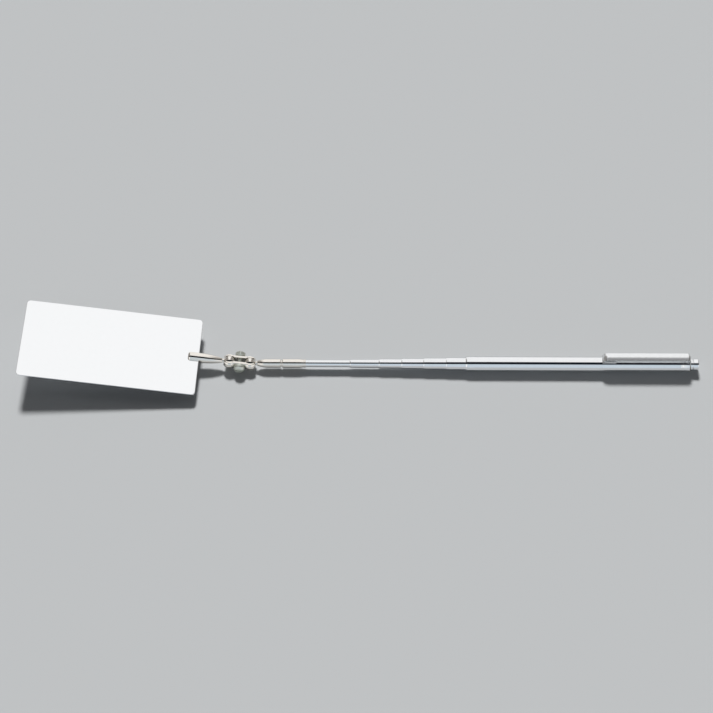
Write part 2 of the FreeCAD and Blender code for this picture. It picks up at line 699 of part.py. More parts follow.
def build_clamp_screw():
    """Slotted pan-head screw: X runs from the head's seat to the screw's end."""
    length = "(2 * clamp_seat + washer_thickness + nut_height + screw_end)"
    rim = "(screw_head_height - screw_head_rim)"
    fall = "(screw_head_radius - screw_head_flat)"
    dome = f"({rim} ^ 2 + {fall} ^ 2) / (2 * {fall})"
    corners = [
        ("-screw_head_height", "0"),
        ("-screw_head_height", "screw_head_flat", dome, 1),
        ("-screw_head_rim", "screw_head_radius"),
        ("0", "screw_head_radius - screw_head_undercut"),
        ("0", "screw_radius"),
        (f"{length} - screw_end_chamfer", "screw_radius"),
        (length, "screw_radius - screw_end_chamfer"),
        (length, "0"),
    ]
    body = turned("clamp_screw_blank", corners, in_clamp("clamp_seat", -90))
    slot = doc.addObject("Part::Box", "clamp_screw_slot")
    slot.setExpression("Length", linked("2 * screw_head_radius"))
    slot.setExpression("Width", linked("screw_slot_depth"))
    slot.setExpression("Height", linked("screw_slot_width"))
    corner = Vector(
        -number("screw_head_radius"),
        number("clamp_seat + screw_head_height - screw_slot_depth"),
        -number("screw_slot_width / 2"),
    )
    slot.Placement = clamp_pose * Placement(corner, Rotation())
    return cut("clamp_screw", body, slot)


def build_spring_washer():
    """Split washer between the rear plate and the nut."""
    inner = "(screw_radius + washer_fit)"
    place = in_clamp("-clamp_seat", 0, 90)
    return split_ring("spring_washer", "washer_radius", inner, "washer_thickness", "washer_slit", place)


def build_clamp_nut():
    """Hexagon nut behind the spring washer, chamfered on both faces."""
    seat = "-(clamp_seat + washer_thickness)"
    corner_radius = "nut_flats / (2 * cos(30))"
    face_radius = "nut_flats / 2 - nut_face_inset"
    place = in_clamp(seat, 0, 90)
    prism = doc.addObject("Part::Prism", "clamp_nut_blank")
    prism.Polygon = 6
    prism.setExpression("Circumradius", linked(corner_radius))
    prism.setExpression("Height", linked("nut_height"))
    prism.Placement = place
    corners = [
        ("0", "0"),
        ("0", face_radius),
        ("nut_chamfer", f"{corner_radius} + corner_margin"),
        ("nut_height - nut_chamfer", f"{corner_radius} + corner_margin"),
        ("nut_height", face_radius),
        ("nut_height", "0"),
    ]
    hexagon = doc.addObject("Part::Common", "clamp_nut_hexagon")
    hexagon.Base = prism
    hexagon.Tool = turned("clamp_nut_chamfers", corners, in_clamp(seat, -90))
    bore = cylinder("clamp_nut_bore", "screw_radius + thread_fit", "nut_height", place)
    return cut("clamp_nut", hexagon, bore)


# ---------------------------------------------------------------------------------------------------------------
# Mirror: its frame has the mirror-side ball's centre at its origin and the stem along X
# ---------------------------------------------------------------------------------------------------------------


def build_mirror_stem():
    """Long ogive stem with a slotted end, whose jaws grip the mirror's short edge."""
    corners = stem_bore() + [
        ("nose_reach", "stem_nose_radius", ogive_arc("mirror_stem_radius", "mirror_ogive"), 1),
        ("nose_reach + mirror_ogive", "mirror_stem_radius"),
        ("mirror_stem_end - jaw_rounding", "mirror_stem_radius", "jaw_rounding", 1),
        ("mirror_stem_end", "mirror_stem_radius - jaw_rounding"),
        ("mirror_stem_end", "0"),
    ]
    body = turned("mirror_stem", corners, mirror_pose)
    doc.recompute()
    half_slot = "(mirror_thickness / 2 + slot_fit)"
    slot = [
        ("mirror_reach", f"-{half_slot}"),
        ("mirror_stem_end + cutter_margin", f"-{half_slot}"),
        ("mirror_stem_end + cutter_margin", half_slot),
        ("mirror_reach", half_slot),
    ]
    add_pocket(body, "XZ_Plane", slot)
    return body


def build_mirror_plate():
    """Thin plate with round corners, its short edge in the stem's slot."""
    body = new_body("mirror_plate")
    near = "mirror_reach"
    far = "(mirror_reach + mirror_length)"
    half = "(mirror_width / 2)"
    corners = [
        (f"{near} + mirror_corner", f"-{half}"),
        (f"{far} - mirror_corner", f"-{half}", "mirror_corner", -1),
        (far, f"-{half} + mirror_corner"),
        (far, f"{half} - mirror_corner", "mirror_corner", -1),
        (f"{far} - mirror_corner", half),
        (f"{near} + mirror_corner", half, "mirror_corner", -1),
        (near, f"{half} - mirror_corner"),
        (near, f"-{half} + mirror_corner", "mirror_corner", -1),
    ]
    add_pad(body, "XY_Plane", corners, "mirror_thickness")
    doc.recompute()
    face = number("mirror_thickness / 2")
    round_edges(body, "mirror_edge", lambda edge: abs(abs(edge.CenterOfMass.z) - face) < NEAR)
    body.Placement = mirror_pose
    return body


# ---------------------------------------------------------------------------------------------------------------
# Assembly, checks and output
# ---------------------------------------------------------------------------------------------------------------

subparts = [build_handle_tube(), build_end_plug(), build_end_cap(), build_pocket_clip()]
subparts += [build_section_tube(section) for section in range(1, SECTIONS)]
subparts += [build_friction_sleeve(section) for section in range(1, SECTIONS + 1)]
subparts += [build_tip_rod(), build_ferrule(), build_rod_stem()]
subparts += [build_ball_stud("rod_ball_stud", along(ROD_BALL, 180))]
subparts += [build_clamp_plate("clamp_plate_front", 1), build_clamp_plate("clamp_plate_rear", -1)]
subparts += [build_clamp_screw(), build_spring_washer(), build_clamp_nut()]
subparts += [build_ball_stud("mirror_ball_stud", mirror_pose), build_mirror_stem(), build_mirror_plate()]
doc.recompute()

for item in doc.Objects:
    if "Invalid" in item.State or "Error" in item.State:
        raise RuntimeError(f"{item.Label} failed: {item.State}")
for subpart in subparts:
    if subpart.Shape.isNull() or not subpart.Shape.isValid() or len(subpart.Shape.Solids) != 1:
        raise RuntimeError(f"{subpart.Label} isn't one valid solid")
for subpart in subparts:
    subpart.Shape.exportStep(f"parts/{subpart.Label}.step")
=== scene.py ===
import json
import math

import bmesh
import bpy
import numpy as np
from mathutils import Matrix, Vector


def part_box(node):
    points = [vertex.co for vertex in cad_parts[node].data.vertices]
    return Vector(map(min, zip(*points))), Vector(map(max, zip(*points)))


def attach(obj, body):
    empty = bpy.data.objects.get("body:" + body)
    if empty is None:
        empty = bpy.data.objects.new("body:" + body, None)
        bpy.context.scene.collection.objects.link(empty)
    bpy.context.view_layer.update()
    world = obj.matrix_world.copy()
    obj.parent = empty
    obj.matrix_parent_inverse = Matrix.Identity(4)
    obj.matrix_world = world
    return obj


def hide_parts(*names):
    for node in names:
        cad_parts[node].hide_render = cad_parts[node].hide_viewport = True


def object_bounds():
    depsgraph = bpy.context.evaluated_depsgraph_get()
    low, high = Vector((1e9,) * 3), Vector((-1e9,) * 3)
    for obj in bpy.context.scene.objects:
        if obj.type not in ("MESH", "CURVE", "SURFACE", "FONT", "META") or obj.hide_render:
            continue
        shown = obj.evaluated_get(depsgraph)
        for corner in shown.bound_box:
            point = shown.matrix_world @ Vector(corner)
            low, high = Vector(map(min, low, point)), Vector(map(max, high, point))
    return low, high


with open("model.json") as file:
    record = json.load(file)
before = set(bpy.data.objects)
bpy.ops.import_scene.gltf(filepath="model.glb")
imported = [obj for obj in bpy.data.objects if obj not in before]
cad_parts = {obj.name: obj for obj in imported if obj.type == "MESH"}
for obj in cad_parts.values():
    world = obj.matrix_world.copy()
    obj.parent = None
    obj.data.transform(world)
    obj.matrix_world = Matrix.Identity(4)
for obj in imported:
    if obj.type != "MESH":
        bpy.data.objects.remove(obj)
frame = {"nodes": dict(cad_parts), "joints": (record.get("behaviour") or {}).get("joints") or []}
cad_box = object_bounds()
joints = {joint["name"]: joint for joint in frame["joints"]}

# ---------------------------------------------------------------------------------------------------------
# Camera. It looks along +Y and down at 54 degrees from 1.2 m away, through a long lens that takes in the
# tool's whole length, and it is turned a fifth of a degree about its own view.

camera_elevation = math.radians(54)
camera_distance = 1.2
camera_aim = Vector((-0.1737, 0.0029, 0.0021))
camera_roll = math.radians(0.2)

view_back = Vector((0, -math.cos(camera_elevation), math.sin(camera_elevation)))
camera = bpy.data.objects.new("camera", bpy.data.cameras.new("camera"))
camera.data.lens = 119.3
camera.data.sensor_width = 36
camera.data.clip_start = 0.1
camera.data.clip_end = 20
camera.location = camera_aim + camera_distance * view_back
level_view = (-view_back).to_track_quat("-Z", "Y").to_matrix()
camera.rotation_euler = (level_view @ Matrix.Rotation(camera_roll, 3, "Z")).to_euler()
bpy.context.scene.collection.objects.link(camera)
bpy.context.scene.camera = camera
bpy.context.scene.view_settings.view_transform = "Standard"

# ---------------------------------------------------------------------------------------------------------
# Studio. The world is two large soft boxes: a white one behind the tool from the floor to overhead, and a
# cooler one in front, with a dark gap between them in front of the zenith. Towards the left and right the
# rear one fades to grey and the front one turns white. The world lights matt surfaces less than it shows in
# glossy ones. A far, soft lamp behind, a little to the left, throws the shadow forwards.

white_box = (1.0, 1.0, 1.0, 1)
grey_end = (0.30, 0.29, 0.28, 1)
cool_box = (0.63, 0.71, 0.78, 1)
dark_gap = (0.010, 0.012, 0.016, 1)
gap_start = 0.515
gap_end = 0.715
gap_blend = 0.022
ends_start = 0.24
ends_full = 0.46
fill_strength = 0.30
lamp_power = 3.36
lamp_colour = (1.0, 0.985, 0.96)
lamp_spread = math.radians(11)
lamp_direction = Vector((-0.08, 0.76, 1.0)).normalized()

world = bpy.data.worlds.new("studio")
bpy.context.scene.world = world
world.use_nodes = True
sky = world.node_tree
sky.nodes.clear()


def sky_math(operation, first, second=0.0, clamped=False):
    """A sum on two values, each of them the output of another node or a plain number."""
    node = sky.nodes.new("ShaderNodeMath")
    node.operation = operation
    node.use_clamp = clamped
    for socket, value in zip(node.inputs, (first, second)):
        if isinstance(value, float):
            socket.default_value = value
        else:
            sky.links.new(value, socket)
    return node.outputs[0]


direction = sky.nodes.new("ShaderNodeTexCoord")
split = sky.nodes.new("ShaderNodeSeparateXYZ")
sky.links.new(direction.outputs["Generated"], split.inputs[0])
half_turn_share = sky_math("DIVIDE", sky_math("ARCTAN2", split.outputs["Z"], split.outputs["Y"]), math.pi)
sideways = sky_math("ABSOLUTE", split.outputs["X"])


def studio_arc(rear, front):
    """The colour round the tool from the rear horizon (0) overhead (0.5) to the front horizon (1)."""
    ramp = sky.nodes.new("ShaderNodeValToRGB")
    stops = [(0, rear), (gap_start, rear), (gap_start + gap_blend, dark_gap), (gap_end, dark_gap)]
    stops += [(gap_end + gap_blend, front), (1, front)]
    for position, colour in stops[1:-1]:
        ramp.color_ramp.elements.new(position)
    for stop, (position, colour) in zip(ramp.color_ramp.elements, stops):
        stop.position = position
        stop.color = colour
    sky.links.new(half_turn_share, ramp.inputs[0])
    return ramp.outputs[0]


ends = sky.nodes.new("ShaderNodeMapRange")
ends.interpolation_type = "SMOOTHSTEP"
ends.inputs["From Min"].default_value = ends_start
ends.inputs["From Max"].default_value = ends_full
sky.links.new(sideways, ends.inputs["Value"])
walls = sky.nodes.new("ShaderNodeMix")
walls.data_type = "RGBA"
sky.links.new(ends.outputs[0], walls.inputs["Factor"])
sky.links.new(studio_arc(white_box, cool_box), walls.inputs["A"])
sky.links.new(studio_arc(grey_end, white_box), walls.inputs["B"])
ray = sky.nodes.new("ShaderNodeLightPath").outputs
seen_or_glossy = sky_math("ADD", ray["Is Camera Ray"], ray["Is Glossy Ray"], clamped=True)
shown = sky_math("ADD", seen_or_glossy, ray["Is Transmission Ray"], clamped=True)
strength = sky.nodes.new("ShaderNodeMapRange")
strength.inputs["To Min"].default_value = fill_strength
strength.inputs["To Max"].default_value = 1.0
sky.links.new(shown, strength.inputs["Value"])
glow = sky.nodes.new("ShaderNodeBackground")
sky.links.new(walls.outputs["Result"], glow.inputs["Color"])
sky.links.new(strength.outputs[0], glow.inputs["Strength"])
sky_out = sky.nodes.new("ShaderNodeOutputWorld")
sky.links.new(glow.outputs[0], sky_out.inputs["Surface"])

lamp = bpy.data.objects.new("soft_lamp", bpy.data.lights.new("soft_lamp", "SUN"))
lamp.data.angle = lamp_spread
lamp.data.energy = lamp_power
lamp.data.color = lamp_colour
lamp.location = camera_aim + lamp_direction
lamp.rotation_euler = (-lamp_direction).to_track_quat("-Z", "Y").to_euler()
lamp.visible_glossy = False
bpy.context.scene.collection.objects.link(lamp)

# ---------------------------------------------------------------------------------------------------------
# Floor. A wide pale matte sheet at the height of the lowest point of the tool, which lies on its handle.

floor_half = 4.0
floor_colour = (0.53, 0.55, 0.57, 1)
floor_height = cad_box[0].z

floor_mesh = bpy.data.meshes.new("floor")
floor_corners = [(x, y, floor_height) for x, y in ((-1, -1), (1, -1), (1, 1), (-1, 1))]
floor_corners = [(x * floor_half, y * floor_half, z) for x, y, z in floor_corners]
floor_mesh.from_pydata(floor_corners, [], [(0, 1, 2, 3)])
floor = bpy.data.objects.new("floor", floor_mesh)
bpy.context.scene.collection.objects.link(floor)
floor_paint = bpy.data.materials.new("floor_paper")
floor_paint.use_nodes = True
floor_shader = floor_paint.node_tree.nodes["Principled BSDF"]
floor_shader.inputs["Base Color"].default_value = floor_colour
floor_shader.inputs["Roughness"].default_value = 0.9
floor_shader.inputs["Specular IOR Level"].default_value = 0.1
floor_mesh.materials.append(floor_paint)

# ---------------------------------------------------------------------------------------------------------
# Handle tube. A drawn steel tube, chromed and polished. A bead is rolled over its end plug near the rear, and
# its mouth is rolled in to guide the first section.

MM = 0.001
tool_frame = Matrix.Rotation(math.pi, 4, "Z")


def along_tool(node):
    """Distances in mm from the cap's rear face to the node's near and far ends, and its largest radius."""
    low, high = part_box(node)
    return -high.x / MM, -low.x / MM, (high.z - low.z) / 2 / MM


def soft_corners(corners, per_arc=6):
    """Rounds an outline in the plane. A corner is (along, out, rounding). One with a rounding becomes an arc
    of that radius, tangent to both its sides: the centre lies on the corner's bisector, rounding / sin(half
    the corner's angle) away, and the points stand at even angles round it."""
    points = []
    for index, (along, out, rounding) in enumerate(corners):
        corner = np.array([along, out], float)
        if rounding == 0:
            points.append(corner[None])
            continue
        before = np.array(corners[index - 1][:2], float) - corner
        after = np.array(corners[(index + 1) % len(corners)][:2], float) - corner
        before /= np.linalg.norm(before)
        after /= np.linalg.norm(after)
        half = math.acos(np.clip(before @ after, -1, 1)) / 2
        bisector = (before + after) / np.linalg.norm(before + after)
        centre = corner + bisector * rounding / math.sin(half)
        start = corner + before * rounding / math.tan(half) - centre
        end = corner + after * rounding / math.tan(half) - centre
        turn_by = math.atan2(start[0] * end[1] - start[1] * end[0], start @ end)
        angles = np.linspace(0, turn_by, per_arc)
        arc_x = start[0] * np.cos(angles) - start[1] * np.sin(angles)
        arc_y = start[0] * np.sin(angles) + start[1] * np.cos(angles)
        points.append(centre + np.stack([arc_x, arc_y], axis=1))
    return np.concatenate(points)


def skin(name, grid, place, ring_rows=False, capped=False, sharp=32):
    """A closed surface over a grid of points in mm (rows, columns, 3). Columns run round and meet; rows meet
    too if they form a ring. Rows that shrink to a point are merged, and open ends get a flat cap if asked."""
    rows, columns = grid.shape[:2]
    corners = np.array(place)[:3, :3] @ grid.reshape(-1, 3).T * MM
    corners = corners.T + np.array(place.translation)
    row = np.arange(rows if ring_rows else rows - 1)[:, None]
    column = np.arange(columns)[None, :]
    next_row = (row + 1) % rows
    next_column = (column + 1) % columns
    quads = np.stack(
        [
            row * columns + column,
            row * columns + next_column,
            next_row * columns + next_column,
            next_row * columns + column,
        ],
        axis=2,
    ).reshape(-1, 4)
    faces = quads.tolist()
    if capped:
        faces.append(list(range(columns)))
        faces.append(list(range((rows - 1) * columns, rows * columns)))
    mesh = bpy.data.meshes.new(name)
    mesh.from_pydata(corners.tolist(), [], faces)
    shape = bmesh.new()
    shape.from_mesh(mesh)
    bmesh.ops.remove_doubles(shape, verts=shape.verts, dist=1e-7)
    bmesh.ops.dissolve_degenerate(shape, edges=shape.edges, dist=1e-8)
    bmesh.ops.recalc_face_normals(shape, faces=shape.faces)
    shape.to_mesh(mesh)
    shape.free()
    mesh.shade_smooth()
    mesh.set_sharp_from_angle(angle=math.radians(sharp))
    piece = bpy.data.objects.new(name, mesh)
    bpy.context.scene.collection.objects.link(piece)
    return piece


def round_axis(along, out, angles):
    """Points at the distances out from the local X axis: (along, out cos a, out sin a) for every angle a."""
    return np.stack([along + 0 * angles, out * np.cos(angles), out * np.sin(angles)], axis=2)


def turned(name, outline, place, spokes=96, sharp=32):
    """A turned piece: each outline point (along, out) goes round the local X axis at even angles. An outline
    that starts and ends on the axis is solid, and any other is a ring."""
    angles = np.arange(spokes) * 2 * np.pi / spokes
    solid = outline[0, 1] == 0 and outline[-1, 1] == 0
    grid = round_axis(outline[:, :1], outline[:, 1:], angles)
    return skin(name, grid, place, ring_rows=not solid, sharp=sharp)


def tangent_arc(start, outside, length, drop, steps=9):
    """An outline that leaves a cylinder as a tangent arc and falls by drop over its length. The arc's radius
    is (length^2 + drop^2) / (2 drop), and a negative length runs the other way."""
    bend = (length**2 + drop**2) / (2 * drop)
    along = np.linspace(0, length, steps)
    return np.stack([start + along, outside - bend + np.sqrt(bend**2 - along**2)], axis=1)


clouds_per_mm = 0.35
noise_low = 0.3
noise_high = 0.7
smoothest = 0.01
relief_strength = 0.6


def metal(name, colour, roughness, place, grain, grain_depth, smudge=0.03, tint=0.05):
    """A bare metal whose tool marks run as the grain says: grain is the marks per mm along the piece's local
    X, Y and Z. The mean of the marks and of coarse, cloudy smudges varies the gloss and darkens the colour
    slightly, and the marks alone stand out as fine relief."""
    paint = bpy.data.materials.new(name)
    paint.use_nodes = True
    nodes = paint.node_tree.nodes
    links = paint.node_tree.links
    shader = nodes["Principled BSDF"]
    shader.inputs["Metallic"].default_value = 1.0
    where = nodes.new("ShaderNodeTexCoord")
    local = nodes.new("ShaderNodeMapping")
    local.vector_type = "TEXTURE"
    local.inputs["Location"].default_value = place.translation
    local.inputs["Rotation"].default_value = place.to_euler()
    local.inputs["Scale"].default_value = (MM, MM, MM)
    links.new(where.outputs["Object"], local.inputs["Vector"])
    stretch = nodes.new("ShaderNodeMapping")
    stretch.inputs["Scale"].default_value = grain
    links.new(local.outputs[0], stretch.inputs["Vector"])
    marks = nodes.new("ShaderNodeTexNoise")
    marks.inputs["Scale"].default_value = 1.0
    marks.inputs["Detail"].default_value = 3.0
    links.new(stretch.outputs[0], marks.inputs["Vector"])
    clouds = nodes.new("ShaderNodeTexNoise")
    clouds.inputs["Scale"].default_value = clouds_per_mm
    clouds.inputs["Detail"].default_value = 4.0
    links.new(local.outputs[0], clouds.inputs["Vector"])
    both = nodes.new("ShaderNodeMix")
    both.inputs["Factor"].default_value = 0.5
    links.new(marks.outputs["Fac"], both.inputs["A"])
    links.new(clouds.outputs["Fac"], both.inputs["B"])
    gloss = nodes.new("ShaderNodeMapRange")
    gloss.inputs["From Min"].default_value = noise_low
    gloss.inputs["From Max"].default_value = noise_high
    gloss.inputs["To Min"].default_value = max(roughness - smudge, smoothest)
    gloss.inputs["To Max"].default_value = roughness + smudge
    links.new(both.outputs["Result"], gloss.inputs["Value"])
    links.new(gloss.outputs["Result"], shader.inputs["Roughness"])
    shade = nodes.new("ShaderNodeMix")
    shade.data_type = "RGBA"
    shade.inputs["A"].default_value = (*colour, 1)
    shade.inputs["B"].default_value = (*[part * (1 - 2 * tint) for part in colour], 1)
    links.new(both.outputs["Result"], shade.inputs["Factor"])
    links.new(shade.outputs["Result"], shader.inputs["Base Color"])
    relief = nodes.new("ShaderNodeBump")
    relief.inputs["Strength"].default_value = relief_strength
    relief.inputs["Distance"].default_value = grain_depth * MM
    links.new(marks.outputs["Fac"], relief.inputs["Height"])
    links.new(relief.outputs["Normal"], shader.inputs["Normal"])
    return paint


def standing(piece, paint, body, node):
    """Finishes a piece: its paint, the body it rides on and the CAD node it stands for."""
    piece.data.materials.append(paint)
    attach(piece, body)
    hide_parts(node)
    return piece


chrome = (0.90, 0.91, 0.92)
drawn_grain = (0.06, 9, 9)
bead_height = 0.2
bead_width = 1.2
bead_middle = 3.8
bead_steepness = 1.5
handle_wall = 0.45
handle_lip = 1.4
handle_lip_drop = 0.27
handle_lip_wall = 0.25
handle_near, handle_far, bead_radius = along_tool("handle_tube")
handle_radius = bead_radius - bead_height
handle_bore = handle_radius - handle_wall

bead_start = handle_near + bead_middle - bead_width / 2
bead_across = np.linspace(0, 1, 13)
bead_rise = bead_height * np.sin(np.pi * bead_across) ** bead_steepness
bead_outline = np.stack([bead_start + bead_width * bead_across, handle_radius + bead_rise], axis=1)
handle_rear = [
    (handle_near, handle_bore, 0.08),
    (handle_near, handle_radius, 0.15),
    (bead_start, handle_radius, 0),
]
handle_lip_bore = handle_radius - handle_lip_drop - handle_lip_wall
handle_inside = [
    (handle_far, handle_lip_bore),
    (handle_far - handle_lip / 2, handle_lip_bore),
    (handle_far - handle_lip, handle_bore),
]
handle_mouth = tangent_arc(handle_far - handle_lip, handle_radius, handle_lip, handle_lip_drop)
handle_outline = np.concatenate([soft_corners(handle_rear), bead_outline, handle_mouth, handle_inside])
chromed_tube = metal("chromed_tube", chrome, 0.09, tool_frame, drawn_grain, 0.0006)
handle = turned("handle_barrel", handle_outline, tool_frame, spokes=128)
standing(handle, chromed_tube, "handle", "handle_tube")

# ---------------------------------------------------------------------------------------------------------
# End cap. A turned and chromed button with a groove and a flange. Its threaded shank goes through the clip's
# lug into the plug in the tube. That plug and the friction sleeves keep their CAD meshes, in turned brass.

nickel = (0.90, 0.86, 0.80)
brass = (0.80, 0.62, 0.30)
cap_shank_end, cap_radius = along_tool("end_cap")[1:]
cap_head = 2.8
cap_groove = 0.4
cap_groove_depth = 0.6
cap_flange_end = 4.3
cap_dish = 0.12
dish_radius = cap_radius * 0.7
face_radius = cap_radius * 0.78
cap_shank_radius = 1.5

cap_outline = soft_corners(
    [
        (0, 0, 0),
        (cap_dish, dish_radius, 0.5),
        (0, face_radius, 0.12),
        (0, cap_radius, 0.5),
        (cap_head, cap_radius, 0.12),
        (cap_head, cap_radius - cap_groove_depth, 0.05),
        (cap_head + cap_groove, cap_radius - cap_groove_depth, 0.05),
        (cap_head + cap_groove, cap_radius, 0.12),
        (cap_flange_end, cap_radius, 0.12),
        (cap_flange_end, cap_shank_radius, 0),
        (cap_shank_end, cap_shank_radius, 0.2),
        (cap_shank_end, 0, 0),
    ]
)
turned_grain = (14, 0.4, 0.4)
chromed_button = metal("chromed_button", chrome, 0.12, tool_frame, turned_grain, 0.0010)
button = turned("end_button", cap_outline, tool_frame)
standing(button, chromed_button, "handle", "end_cap")

turned_brass = metal("turned_brass", brass, 0.28, tool_frame, turned_grain, 0.0015)
inner_nodes = ["end_plug"] + [f"friction_sleeve_{section}" for section in range(1, 7)]
for node in inner_nodes:
    inner = frame["nodes"][node]
    inner.data.materials.clear()
    inner.data.materials.append(turned_brass)

# ---------------------------------------------------------------------------------------------------------
# Pocket clip. A strip of chromed spring sheet: a flat lug clamped under the cap, a tight bend, a long arched
# arm and a front end that curves down and is folded back as a hem, which lies on the tube.

clip_near, clip_far = along_tool("pocket_clip")[:2]
clip_sheet = 0.5
clip_half = 2.25
clip_rise = 0.78
clip_bend = 1.6 - clip_sheet / 2
clip_ridge = 0.15
clip_front = 3.0 - clip_sheet / 2
hem_length = 7.0
hem_bend = 0.35
hem_gap = 0.03
hem_height = handle_radius + hem_gap + clip_sheet / 2
lug_arch = 1.2
front_flattening = 0.85
lug_hole = 1.52
hole_reach = 1.0
clip_edge = 0.12
clip_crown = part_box("pocket_clip")[1].z / MM - clip_sheet / 2
lug_middle = clip_near + clip_sheet / 2
leg_middle = clip_far - clip_sheet / 2
bend_level = clip_crown - clip_bend

lug_up = np.linspace(-clip_half, bend_level, 40)[:-1]
quarter = np.linspace(0, np.pi / 2, 12)
arm_x = np.linspace(lug_middle + clip_bend, leg_middle - clip_front, 30)[1:-1]
hem_x = np.linspace(leg_middle - hem_bend, clip_far - hem_length, 8)[1:]
leg_foot = hem_height + hem_bend

# The path of the sheet's middle, seen from the side: up the lug, round the bend, along the arm, down the
# front curve as a quarter ellipse, and round a small bend into the hem.
path_x = np.concatenate(
    [
        0 * lug_up + lug_middle,
        lug_middle + clip_bend * (1 - np.cos(quarter)),
        arm_x,
        leg_middle - clip_front * (1 - np.sin(quarter)),
        leg_middle - hem_bend * (1 - np.cos(quarter[1:])),
        hem_x,
    ]
)
path_z = np.concatenate(
    [
        lug_up,
        bend_level + clip_bend * np.sin(quarter),
        0 * arm_x + clip_crown,
        leg_foot + (clip_crown - leg_foot) * np.cos(quarter),
        leg_foot - hem_bend * np.sin(quarter[1:]),
        0 * hem_x + hem_height,
    ]
)
round_foot = np.sqrt(clip_half**2 - np.minimum(lug_up, 0) ** 2)
path_half = np.concatenate([round_foot, np.full(len(path_x) - len(lug_up), clip_half)])
path_arch = np.concatenate(
    [
        np.clip(1 - (bend_level - lug_up) / lug_arch, 0, 1),
        0 * quarter + 1,
        0 * arm_x + 1,
        np.cos(quarter * front_flattening),
        0 * quarter[1:],
        0 * hem_x,
    ]
)
slope = np.stack([np.gradient(path_x), np.gradient(path_z)])
slope /= np.linalg.norm(slope, axis=0)


def cut_away(piece, tool):
    """Takes the tool's shape out of the piece for good, and removes the tool."""
    step = piece.modifiers.new("cut", "BOOLEAN")
    step.operation = "DIFFERENCE"
    step.solver = "EXACT"
    step.object = tool
    cut_mesh = bpy.data.meshes.new_from_object(piece.evaluated_get(bpy.context.evaluated_depsgraph_get()))
    piece.modifiers.clear()
    piece.data = cut_mesh
    piece.data.name = piece.name
    bpy.data.objects.remove(tool)
    cut_mesh.shade_smooth()
    cut_mesh.set_sharp_from_angle(angle=math.radians(32))


def drill(middle, reach, radius, place):
    """A plain rod along local X that reaches both ways from its middle, used only to cut with."""
    outline = np.array([(-reach, 0), (-reach, radius), (reach, radius), (reach, 0)], float)
    return turned("cutter", outline + (middle, 0), place, spokes=48)


# Across the path the sheet is a soft-ridged roof: it falls by a hyperbola of the distance from its middle,
# and both its faces stand half a sheet off that line.
across = np.linspace(-1, 1, 25)
ridge_span = math.hypot(1, clip_ridge) - clip_ridge
arch_rise = clip_rise * path_arch[:, None] / ridge_span
sag = -arch_rise * (np.hypot(across, clip_ridge) - clip_ridge)
tilt = np.arctan(arch_rise * across / np.hypot(across, clip_ridge) / clip_half)
sheet_faces = []
for side in (1, -1):
    lift = sag + side * clip_sheet / 2 * np.cos(tilt)
    sheet_y = path_half[:, None] * across + side * clip_sheet / 2 * np.sin(tilt)
    sheet_x = path_x[:, None] - slope[1][:, None] * lift
    sheet_z = path_z[:, None] + slope[0][:, None] * lift
    sheet_faces.append(np.stack([sheet_x, sheet_y, sheet_z], axis=2))
clip_grid = np.concatenate([sheet_faces[0], sheet_faces[1][:, ::-1]], axis=1)
chromed_sheet = metal("chromed_sheet", chrome, 0.22, tool_frame, (0.08, 7, 7), 0.0012)
clip = skin("pocket_clip_sheet", clip_grid, tool_frame, capped=True)
cut_away(clip, drill(lug_middle, hole_reach, lug_hole, tool_frame))
clip_edges = clip.modifiers.new("edges", "BEVEL")
clip_edges.width = clip_edge * MM
clip_edges.segments = 3
clip_edges.limit_method = "ANGLE"
clip_edges.angle_limit = math.radians(50)
standing(clip, chromed_sheet, "handle", "pocket_clip")

# ---------------------------------------------------------------------------------------------------------
# Telescoping sections. Five thin chromed tubes, each with a rolled mouth in front and a swaged seat at its
# rear for its brass friction sleeve, and the tip rod, which is the thinnest and goes into the ferrule.

tube_wall = 0.2
rod_wall = 0.3
tube_lip = 1.4
tube_lip_drop = 0.19
tube_lip_wall = 0.08
seat_flange = 0.6
seat_end = 6.8
seat_depth = 0.12
seat_slope = 0.5


def seat_outline(near, outside):
    """The rear end of a tube: an end flange, the sunk seat of the sleeve, and the step back to full size."""
    return soft_corners(
        [
            (near, outside - tube_wall - seat_depth, 0),
            (near, outside, 0.06),
            (near + seat_flange, outside, 0),
            (near + seat_flange, outside - seat_depth, 0),
            (near + seat_end, outside - seat_depth, 0),
            (near + seat_end, outside, 0),
        ]
    )


for section in range(1, 6):
    near, far, outside = along_tool(f"section_tube_{section}")
    bore = outside - tube_wall
    lip_bore = outside - tube_lip_drop - tube_lip_wall
    inside = [
        (far, lip_bore),
        (far - tube_lip / 2, lip_bore),
        (far - tube_lip, bore),
        (near + seat_end + seat_slope, bore),
        (near + seat_end, bore - seat_depth),
    ]
    mouth = tangent_arc(far - tube_lip, outside, tube_lip, tube_lip_drop)
    outline = np.concatenate([seat_outline(near, outside), mouth, inside])
    barrel = turned(f"section_barrel_{section}", outline, tool_frame)
    standing(barrel, chromed_tube, f"section_{section}", f"section_tube_{section}")

rod_near, rod_far, rod_radius = along_tool("tip_rod")
rod_bore = rod_radius - rod_wall
rod_inside = [
    (rod_far, rod_radius),
    (rod_far, rod_bore),
    (rod_near + seat_end + seat_slope, rod_bore),
    (rod_near + seat_end, rod_bore - seat_depth),
    (rod_near, rod_bore - seat_depth),
]
rod_outline = np.concatenate([seat_outline(rod_near, rod_radius)[1:], rod_inside])
rod = turned("tip_rod_barrel", rod_outline, tool_frame)
standing(rod, chromed_tube, "rod", "tip_rod")

# ---------------------------------------------------------------------------------------------------------
# Ferrule. A turned nickel sleeve soldered on the tip rod, with a ring and a taper at its nose. Its other end
# is rolled in over the head of the swivel pin, so that the whole head of the tool can spin.

